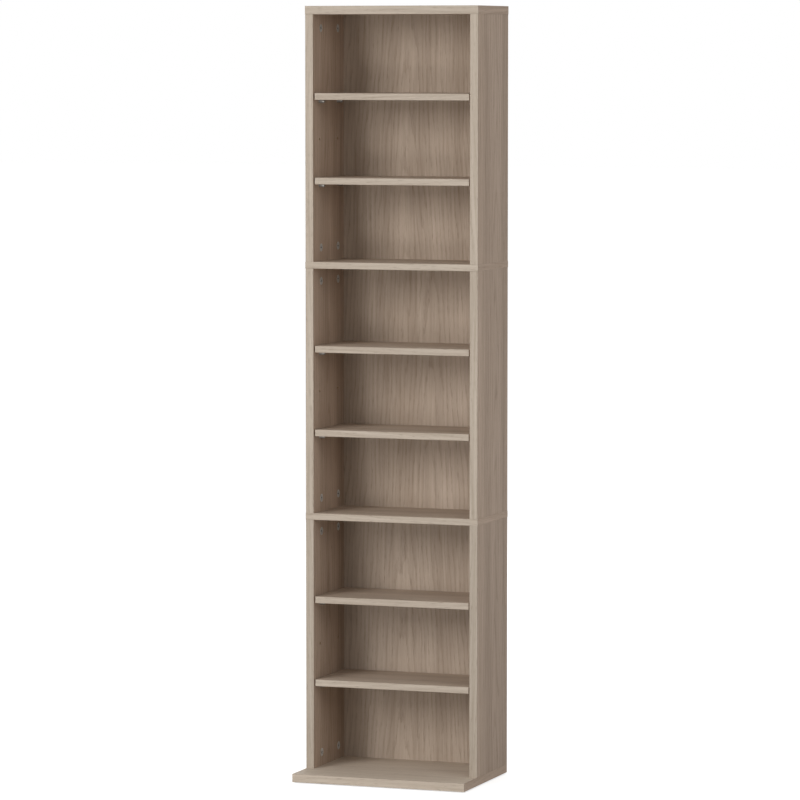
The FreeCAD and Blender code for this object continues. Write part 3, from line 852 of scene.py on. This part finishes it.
def strip(length, height, thickness, rounding, rounded_ends):
    """Closed edge band on its board: points (along, outward, up), quads, rim.

    Outward = thickness - rounding + the lesser of two arcs, each the root of (rounding squared less the
    square of how far the point lies inside the rounding of its nearest edge): one arc across the band's
    height, one along its length where its ends are rounded. The rear is the same grid at nothing.
    """
    along, up = np.meshgrid(
        stations(length, rounding, rounded_ends), stations(height, rounding), indexing="ij")

    def arc(place, full):
        inside = np.clip(rounding - np.minimum(place, full - place), 0.0, rounding)
        return np.sqrt(rounding ** 2 - inside ** 2)

    fall = arc(up, height)
    if rounded_ends:
        fall = np.minimum(fall, arc(along, length))
    front = np.stack([along, thickness - rounding + fall, up], -1).reshape(-1, 3)
    rear = front * (1.0, 0.0, 1.0)
    rows, columns = along.shape
    count = rows * columns
    edge = border(rows, columns)
    rear_quads = grid_quads(rows, columns, count)[:, ::-1]
    faces = [grid_quads(rows, columns), rear_quads, skirt(edge, edge + count)]
    # Rim: how far round the rounded edge a point lies, 1 on the hidden rear; it sets the painted shade on
    # the band's rims.
    rim = np.concatenate([(1 - fall.ravel() / rounding) ** 0.5, np.ones(count)])
    return np.concatenate([front, rear]), faces, rim


def close_rings(rings):
    """Points and faces of a surface through closed rings, with a fan to the middle of each end ring."""
    count, spokes = rings.shape[:2]
    points = np.concatenate([rings.reshape(-1, 3), rings[[0, -1]].mean(1)])
    rows = np.arange(count * spokes).reshape(count, spokes)
    pole = np.full(spokes, count * spokes)
    fans = np.concatenate([
        np.stack([np.roll(rows[0], -1), rows[0], pole], -1),
        np.stack([rows[-1], np.roll(rows[-1], -1), pole + 1], -1)])
    return points, [skirt(rows[:-1], rows[1:]), fans]


def loop_rings(rings):
    """Points and faces of a surface through closed rings, the last joined to the first."""
    count, spokes = rings.shape[:2]
    rows = np.arange(count * spokes).reshape(count, spokes)
    return rings.reshape(-1, 3), [skirt(rows, np.roll(rows, -1, 0))]


def turned(profile, spokes):
    """Rings about the third axis: (radius cos t, radius sin t, height) for each (radius, height)."""
    radius, height = np.array(profile).T[:, :, None]
    t = np.linspace(0.0, 2 * np.pi, spokes, endpoint=False)
    return np.stack([radius * np.cos(t), radius * np.sin(t), height + 0.0 * t], -1)


# Shelf pin: points round it, radius of its peg, its bevels, rounding of the lug's tip, and a level that cuts
# nothing.
PIN_SPOKES = 48
PEG_RADIUS = 0.0024
PIN_BEVEL = 0.0003
LUG_ROUNDING = 0.0012
UNCUT = 1.0


def pin_profile(fittings, sunk, rise):
    """(place, radius, level) from the tip of the peg, sunk in the side, to the rounded tip of the lug.

    The tip is a quarter circle: its place is its start plus LUG_ROUNDING sin t, while radius and level
    both fall by LUG_ROUNDING (1 - cos t). Peg and collar have straight bevels.
    """
    peg, bevel, tip = PEG_RADIUS, PIN_BEVEL, LUG_ROUNDING
    collar, thick = fittings.collar_radius, fittings.collar_thickness
    lug, reach = fittings.lug_radius, fittings.lug_reach
    fall = tip * (1 - np.cos(QUARTER_TURN))
    rows = [
        (-sunk, peg - 2 * bevel, UNCUT), (2 * bevel - sunk, peg, UNCUT), (0.0, peg, UNCUT),
        (0.0, collar - bevel, UNCUT), (bevel, collar, UNCUT), (thick - bevel, collar, UNCUT),
        (thick, collar - bevel, UNCUT), (thick, lug, rise)]
    rounded = np.stack([reach - tip + tip * np.sin(QUARTER_TURN), lug - fall, rise - fall], -1)
    return rows + rounded.tolist()


def pin_rings(profile):
    """Rings of a shelf pin along the first axis, one for each (place, radius, level).

    A ring is (place, radius cos t, the lesser of radius sin t and level): the level cuts the lug flat
    where the shelf rests, and lies above the peg and the collar.
    """
    place, radius, level = np.array(profile).T[:, :, None]
    t = np.linspace(0.0, 2 * np.pi, PIN_SPOKES, endpoint=False)
    return np.stack([place + 0.0 * t, radius * np.cos(t), np.minimum(radius * np.sin(t), level)], -1)


# Glide: points round it, radii of its hole and countersink, depth of the countersink, rounded lower rim and
# upper bevel.
GLIDE_SPOKES = 64
GLIDE_HOLE = 0.0011
GLIDE_SINK = 0.0036
GLIDE_SINK_DEPTH = 0.0008
GLIDE_RIM = 0.0007
GLIDE_BEVEL = 0.0002

# Its nail: points round it, radii of head, shank and tip, play round the head, how deep the face lies in the
# middle and how much deeper at its rim, its first share of the radius, its points and the nail's own point.
NAIL_SPOKES = 32
NAIL_HEAD = 0.0027
NAIL_SHANK = 0.001
NAIL_TIP = 0.0002
NAIL_PLAY = 0.0001
NAIL_SUNK = 0.0002
NAIL_DOME = 0.0003
NAIL_MIDDLE = 0.15
NAIL_FACE_POINTS = 6
NAIL_POINT = 0.0015


def glide_profile(radius, top):
    """(radius, height) round the section of a glide: its top, rounded rim, countersink and hole.

    The rim is a quarter circle: GLIDE_RIM cos t further out than its middle, GLIDE_RIM sin t below it.
    """
    across, down = GLIDE_RIM * np.cos(QUARTER_TURN), GLIDE_RIM * np.sin(QUARTER_TURN)
    rounded = np.stack([radius - GLIDE_RIM + across, GLIDE_RIM - down], -1)
    return [
        (GLIDE_HOLE, top), (radius - GLIDE_BEVEL, top), (radius, top - GLIDE_BEVEL), *rounded.tolist(),
        (GLIDE_SINK, 0.0), (GLIDE_SINK - GLIDE_BEVEL, GLIDE_BEVEL / 2),
        (NAIL_HEAD + NAIL_PLAY, GLIDE_SINK_DEPTH), (GLIDE_HOLE, GLIDE_SINK_DEPTH)]


def nail_profile(end):
    """(radius, height) of a nail: the face of its head, then its shank and its point up to the height end.

    The face is domed: its height is NAIL_SUNK + NAIL_DOME times the square of its share of the radius.
    """
    share = np.linspace(NAIL_MIDDLE, 1.0, NAIL_FACE_POINTS)
    face = np.stack([NAIL_HEAD * share, NAIL_SUNK + NAIL_DOME * share ** 2], -1)
    return [
        *face.tolist(), (NAIL_HEAD, GLIDE_SINK_DEPTH), (NAIL_SHANK, GLIDE_SINK_DEPTH),
        (NAIL_SHANK, end - NAIL_POINT), (NAIL_TIP, end)]


# Angle between two faces above which their edge stays sharp.
SHARP = math.radians(35)


class Gathering:
    """Collects like shapes into one mesh."""

    def __init__(self):
        self.points, self.faces, self.uvs = [], [], []
        self.marks = {}
        self.count = 0

    def put(self, points, faces, uvs=None, **marks):
        """Add a shape; marks are numbers for its points, one or one each, kept as attributes."""
        self.points.append(points)
        self.faces.extend(block + self.count for block in faces)
        self.uvs.append(np.zeros((len(points), 2)) if uvs is None else uvs)
        for name, values in marks.items():
            self.marks.setdefault(name, []).append(np.broadcast_to(values, len(points)))
        self.count += len(points)

    def finish(self, name, body, slot, material, stands_for=()):
        """Mesh, outward faces, soft shading up to the sharp angle, and a place on its body."""
        mesh = bpy.data.meshes.new(name)
        faces = [face for block in self.faces for face in block.tolist()]
        mesh.from_pydata(np.concatenate(self.points).tolist(), [], faces)
        shell = bmesh.new()
        shell.from_mesh(mesh)
        bmesh.ops.recalc_face_normals(shell, faces=shell.faces)
        shell.to_mesh(mesh)
        shell.free()
        for mark, values in self.marks.items():
            attribute = mesh.attributes.new(mark, "FLOAT", "POINT")
            attribute.data.foreach_set("value", np.concatenate(values).astype(np.float32))
        corner = np.zeros(len(mesh.loops), np.int32)
        mesh.loops.foreach_get("vertex_index", corner)
        layer = mesh.uv_layers.new(name="grain")
        layer.data.foreach_set("uv", np.concatenate(self.uvs)[corner].astype(np.float32).ravel())
        mesh.polygons.foreach_set("use_smooth", np.ones(len(mesh.polygons), bool))
        mesh.set_sharp_from_angle(angle=SHARP)
        mesh.materials.append(material)
        mesh.validate()
        piece = bpy.data.objects.new(name, mesh)
        bpy.context.scene.collection.objects.link(piece)
        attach(piece, body)
        if stands_for:
            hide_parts(*stands_for)


class BandCutter:
    """Cuts edge bands to size, each from a place of its own on the printed roll, and glues them on."""

    def __init__(self, edging):
        self.thickness = edging.thickness
        self.rounding = edging.rounding
        self.draw = np.random.default_rng(BAND_SEED)

    def glue(self, gathering, origin, directions, length, height, rounded_ends, shade):
        """A band from the corner of its board at origin, turned to its three directions."""
        shape, faces, rim = strip(length, height, self.thickness, self.rounding, rounded_ends)
        place_on_roll = shape[:, (0, 2)] + self.draw.uniform(*BAND_SHIFTS)
        gathering.put(origin + shape @ directions, faces, place_on_roll, rim=rim, shade=shade)


# Operators.

def grain_shifts():
    """How far the oak pattern is moved on each board, so that no two show the same grain.

    The three sides stacked on one hand share a shift, and their grain runs through.
    """
    draw = np.random.default_rng(BOARD_SEED)
    cuts = (*WIDE_BOARDS, *SHELVES, *HANDS, *BACKS)
    return {cut: tuple(draw.uniform(*BOARD_SHIFTS).tolist()) for cut in cuts}


class TOWER_OT_boards(Operator):
    """Oak foil and bare edges for the base, the connecting boards, the top and the shelves"""

    bl_idname = "tower.boards"
    bl_label = "Finish the boards and shelves"

    def execute(self, context):
        oak = context.scene.tower_oak
        shifts = grain_shifts()
        for node in WIDE_BOARDS + SHELVES:
            tones, shade = face_tones(oak), PLAIN_SHADE
            # The base takes the paler tones of the front bands and a painted sheen.
            if node == BASE_BOARD:
                tones, shade = board_tones(oak), BASE_PAINTED_SHEEN
            dress(node, board_material(f"oak_{node}", oak, tones, LYING, UPWARD, shifts[node], shade))
        return {"FINISHED"}


class TOWER_OT_sides(Operator):
    """Oak foil and bare edges for the six sides, pale in front and veined near the rear"""

    bl_idname = "tower.sides"
    bl_label = "Finish the sides"

    def execute(self, context):
        oak = context.scene.tower_oak
        shifts = grain_shifts()
        for hand in HANDS:
            for segment in SEGMENTS:
                node = f"{segment}_{hand}_side"
                dress(node, board_material(
                    f"oak_{node}", oak, side_tones(oak), STANDING, RIGHTWARD, shifts[hand],
                    PAINTED_SEGMENT_SHADES[segment], sapwood=True))
        return {"FINISHED"}


class TOWER_OT_backs(Operator):
    """Oak foil in front of the back panels, bare hardboard behind"""

    bl_idname = "tower.backs"
    bl_label = "Finish the back panels"

    def execute(self, context):
        oak = context.scene.tower_oak
        shifts = grain_shifts()
        for segment, panel in zip(SEGMENTS, BACKS):
            dress(panel, back_material(f"oak_{panel}", oak, shifts[panel], PAINTED_SEGMENT_SHADES[segment]))
        return {"FINISHED"}


class TOWER_OT_edge_bands(Operator):
    """Edge bands with rounded edges, glued to the fronts and to the ends of the wide boards"""

    bl_idname = "tower.edge_bands"
    bl_label = "Make the edge bands"

    def execute(self, context):
        oak = context.scene.tower_oak
        cutter = BandCutter(context.scene.tower_edging)
        front_band = band_material("oak_front_band", oak, board_tones(oak))
        end_band = band_material("oak_end_band", oak, side_tones(oak))
        for node in WIDE_BOARDS:
            self.wide_board(cutter, node, front_band, end_band)
        for segment in SEGMENTS:
            made = Gathering()
            for hand in HANDS:
                low, high = box(f"{segment}_{hand}_side")
                size = high - low
                cutter.glue(made, low, UPRIGHT_BAND, size[2], size[0], False, PAINTED_SEGMENT_SHADES[segment])
            made.finish(f"{segment}_side_edging", CARCASS, "oak_edge_band", front_band,
                        [f"{segment}_side_bands"])
        for node in SHELVES:
            low, high = box(node)
            size = high - low
            made = Gathering()
            cutter.glue(made, low, FRONT_BAND, size[0], size[2], True, PLAIN_SHADE)
            made.finish(f"{node}_edging", node, "oak_edge_band", front_band, [f"{node}_band"])
        return {"FINISHED"}

    @staticmethod
    def wide_board(cutter, node, front_band, end_band):
        """A band along the front of a board, over the full width, and one on each end behind it."""
        low, high = box(node)
        outer_low, outer_high = box(f"{node}_bands")
        size = high - low
        shade = BASE_FRONT_PAINTED_LIGHT if node == BASE_BOARD else PLAIN_SHADE
        front = Gathering()
        corner = np.array((outer_low[0], low[1], low[2]))
        cutter.glue(front, corner, FRONT_BAND, outer_high[0] - outer_low[0], size[2], True, shade)
        front.finish(f"{node}_front_edging", CARCASS, "oak_edge_band", front_band, [f"{node}_bands"])
        ends = Gathering()
        for x, directions in ((low[0], LEFT_END_BAND), (high[0], RIGHT_END_BAND)):
            corner = np.array((x, low[1], low[2]))
            cutter.glue(ends, corner, directions, size[1], size[2], False, END_SHADE)
        ends.finish(f"{node}_end_edging", CARCASS, "oak_edge_band", end_band, [f"{node}_bands"])


class TOWER_OT_shelf_pins(Operator):
    """Four nickel-plated pins under each shelf: a peg in the side, a collar and a lug with a flat top"""

    bl_idname = "tower.shelf_pins"
    bl_label = "Make the shelf pins"

    def execute(self, context):
        fittings = context.scene.tower_fittings
        nickel = metal_material("satin_nickel", fittings.nickel, NICKEL_ROUGHNESS)
        radius = fittings.collar_radius
        for number, node in enumerate(SHELVES):
            low, high = box(f"{node}_pins")
            face = box(f"{SEGMENTS[number // SHELVES_IN_SEGMENT]}_right_side")[0][0]
            axis = low[2] + radius
            profile = pin_profile(fittings, high[0] - face, high[2] - low[2] - radius)
            shape, faces = close_rings(pin_rings(profile))
            made = Gathering()
            for hand in (-1.0, 1.0):
                for y in (low[1] + radius, high[1] - radius):
                    made.put(np.array((hand * face, y, axis)) + shape * (-hand, 1.0, 1.0), faces)
            made.finish(f"{node}_pegs", CARCASS, "nickel_plate", nickel, [f"{node}_pins"])
        return {"FINISHED"}


class TOWER_OT_glides(Operator):
    """Four plastic glides under the base, each with a countersunk nail"""

    bl_idname = "tower.glides"
    bl_label = "Make the glides"

    def execute(self, context):
        fittings = context.scene.tower_fittings
        low, high = box("glides")
        radius = fittings.glide_radius
        top = box(BASE_BOARD)[0][2]
        disc = loop_rings(turned(glide_profile(radius, top), GLIDE_SPOKES))
        nail = close_rings(turned(nail_profile(high[2]), NAIL_SPOKES))
        discs, nails = Gathering(), Gathering()
        for x in (low[0] + radius, high[0] - radius):
            for y in (low[1] + radius, high[1] - radius):
                for gathering, (points, faces) in ((discs, disc), (nails, nail)):
                    gathering.put(points + (x, y, 0.0), faces)
        plastic = plastic_material("moulded_plastic", fittings.glide)
        discs.finish("glide_discs", CARCASS, "glide_plastic", plastic, ["glides"])
        steel = metal_material("rubbed_steel", fittings.steel, NAIL_ROUGHNESS)
        nails.finish("glide_nails", CARCASS, "plated_steel", steel)
        return {"FINISHED"}


class TOWER_OT_bolts(Operator):
    """Bright steel for the bolts that the cams grip"""

    bl_idname = "tower.bolts"
    bl_label = "Finish the bolts"

    def execute(self, context):
        steel = metal_material("bright_steel", context.scene.tower_fittings.steel, BOLT_ROUGHNESS)
        for node in BOLTS:
            dress(node, steel)
        return {"FINISHED"}


class TOWER_OT_cams(Operator):
    """Cast zinc for the cams in the inner faces of the sides"""

    bl_idname = "tower.cams"
    bl_label = "Finish the cams"

    def execute(self, context):
        face = float(box("lower_right_side")[0][0])
        zinc = cam_material("cast_zinc", context.scene.tower_fittings.zinc, face)
        for segment in SEGMENTS:
            dress(f"{segment}_cams", zinc)
        return {"FINISHED"}


class TOWER_OT_dowels(Operator):
    """Beech for the dowels between the boards"""

    bl_idname = "tower.dowels"
    bl_label = "Finish the dowels"

    def execute(self, context):
        beech = beech_material("ribbed_beech", context.scene.tower_fittings.beech)
        for node in DOWELS:
            dress(node, beech)
        return {"FINISHED"}


# Stage.

# Points that the lamps face, and the lamps in order: name, place, such a point and the side of its square.
TOWER_MIDDLE = (0.0, 0.0, 0.75)
TOWER_FOOT = (0.0, 0.0, 0.1)
LAMPS = (
    ("key", (-2.78, -5.45, 2.97), TOWER_MIDDLE, 2.6),
    ("fill", (3.2, -2.0, 2.0), TOWER_MIDDLE, 2.0),
    ("low", (-0.7, -2.4, 0.35), TOWER_FOOT, 0.6),
    ("rear", (-0.6, 3.6, 2.4), TOWER_MIDDLE, 2.0),
)

# Colour of the air, and of the floor's glow.
WHITE = (1.0, 1.0, 1.0)

# Floor: half its side, its paint as it lights the tower, and paint and glow that together show white.
FLOOR_REACH = 40.0
FLOOR_PAINT = (0.65, 0.65, 0.65)
FLOOR_SHOWN = (0.75, 0.75, 0.75)
FLOOR_GLOW = 0.69

# Camera: width of its sensor in millimetres, and how far it sees.
SENSOR_WIDTH = 36.0
CLIP_END = 100.0


class TOWER_OT_stage(Operator):
    """Pale floor, soft studio light and the camera"""

    bl_idname = "tower.stage"
    bl_label = "Set the stage"

    def execute(self, context):
        scene = context.scene
        studio = scene.tower_studio
        scene.view_settings.view_transform = "Standard"
        self.air(scene, studio)
        self.floor(scene)
        for name, place, target, side in LAMPS:
            self.lamp(scene, f"{name}_lamp", getattr(studio, name), place, Vector(target), side)
        lens = bpy.data.cameras.new("camera")
        lens.lens = studio.lens
        lens.sensor_width = SENSOR_WIDTH
        lens.clip_end = CLIP_END
        camera = bpy.data.objects.new("camera", lens)
        camera.location = studio.camera_place
        camera.rotation_euler = (studio.camera_tilt, 0.0, studio.camera_turn)
        scene.collection.objects.link(camera)
        scene.camera = camera
        return {"FINISHED"}

    @staticmethod
    def seen(w):
        """1 for rays that show the background: from the camera, in reflections and through glass."""
        rays = w.add("ShaderNodeLightPath").outputs
        direct = w.math("MAXIMUM", rays["Is Camera Ray"], rays["Is Glossy Ray"])
        return w.math("MAXIMUM", direct, rays["Is Transmission Ray"])

    def air(self, scene, studio):
        """White where it is seen, an even light otherwise."""
        world = bpy.data.worlds.new("studio_air")
        w = emptied(world)
        light = w.add("ShaderNodeBackground", {"Color": WHITE, "Strength": studio.ambient})
        white = w.add("ShaderNodeBackground", {"Color": WHITE, "Strength": 1.0})
        shown = w.shaders(self.seen(w), light, white)
        w.add("ShaderNodeOutputWorld", {"Surface": shown.outputs[0]})
        scene.world = world

    def floor(self, scene):
        """Level sheet, white where it is seen but for the shadow, and open from below."""
        reach = FLOOR_REACH
        corners = [(-reach, -reach, 0.0), (reach, -reach, 0.0), (reach, reach, 0.0), (-reach, reach, 0.0)]
        mesh = bpy.data.meshes.new("floor")
        mesh.from_pydata(corners, [], [(0, 1, 2, 3)])
        material = bpy.data.materials.new("pale_floor")
        w = emptied(material)
        paint = w.add("ShaderNodeBsdfDiffuse", {"Color": FLOOR_PAINT})
        shaded = w.add("ShaderNodeBsdfDiffuse", {"Color": FLOOR_SHOWN})
        glow = w.add("ShaderNodeEmission", {"Color": WHITE, "Strength": FLOOR_GLOW})
        white = w.add("ShaderNodeAddShader", {0: shaded.outputs[0], 1: glow.outputs[0]})
        shown = w.shaders(self.seen(w), paint, white)
        below = w.add("ShaderNodeNewGeometry").outputs["Backfacing"]
        sheet = w.shaders(below, shown, w.add("ShaderNodeBsdfTransparent"))
        w.add("ShaderNodeOutputMaterial", {"Surface": sheet.outputs[0]})
        mesh.materials.append(material)
        floor = bpy.data.objects.new("floor", mesh)
        scene.collection.objects.link(floor)

    @staticmethod
    def lamp(scene, name, power, place, target, side):
        """Square lamp that faces a target and isn't seen itself."""
        light = bpy.data.lights.new(name, "AREA")
        light.shape = "SQUARE"
        light.size = side
        light.energy = power
        lamp = bpy.data.objects.new(name, light)
        lamp.location = place
        lamp.rotation_euler = (target - lamp.location).to_track_quat("-Z", "Y").to_euler()
        lamp.visible_camera = False
        scene.collection.objects.link(lamp)


class TOWER_PT_dressing(Panel):
    """The steps that finish the tower, in order, and the sizes and colours that they use"""

    bl_label = "Storage tower"
    bl_idname = "TOWER_PT_dressing"
    bl_space_type = "VIEW_3D"
    bl_region_type = "UI"
    bl_category = "Tower"

    def draw(self, context):
        for operator in OPERATORS:
            self.layout.operator(operator.bl_idname)
        for group, kind in SETTINGS.items():
            column = self.layout.column()
            for setting in kind.__annotations__:
                column.prop(getattr(context.scene, group), setting)


SETTINGS = {
    "tower_oak": TowerOak,
    "tower_edging": TowerEdging,
    "tower_fittings": TowerFittings,
    "tower_studio": TowerStudio,
}
OPERATORS = (
    TOWER_OT_boards, TOWER_OT_sides, TOWER_OT_backs, TOWER_OT_edge_bands, TOWER_OT_shelf_pins,
    TOWER_OT_glides, TOWER_OT_bolts, TOWER_OT_cams, TOWER_OT_dowels, TOWER_OT_stage)


def register():
    for kind in (*SETTINGS.values(), *OPERATORS, TOWER_PT_dressing):
        bpy.utils.register_class(kind)
    for name, kind in SETTINGS.items():
        setattr(bpy.types.Scene, name, PointerProperty(type=kind))


def unregister():
    for name in SETTINGS:
        delattr(bpy.types.Scene, name)
    for kind in (TOWER_PT_dressing, *reversed(OPERATORS), *SETTINGS.values()):
        bpy.utils.unregister_class(kind)


def main():
    """Finish every piece in order."""
    register()
    bpy.ops.tower.boards()
    bpy.ops.tower.sides()
    bpy.ops.tower.backs()
    bpy.ops.tower.edge_bands()
    bpy.ops.tower.shelf_pins()
    bpy.ops.tower.glides()
    bpy.ops.tower.bolts()
    bpy.ops.tower.cams()
    bpy.ops.tower.dowels()
    bpy.ops.tower.stage()
    bpy.context.view_layer.update()


if __name__ == "__main__":
    main()
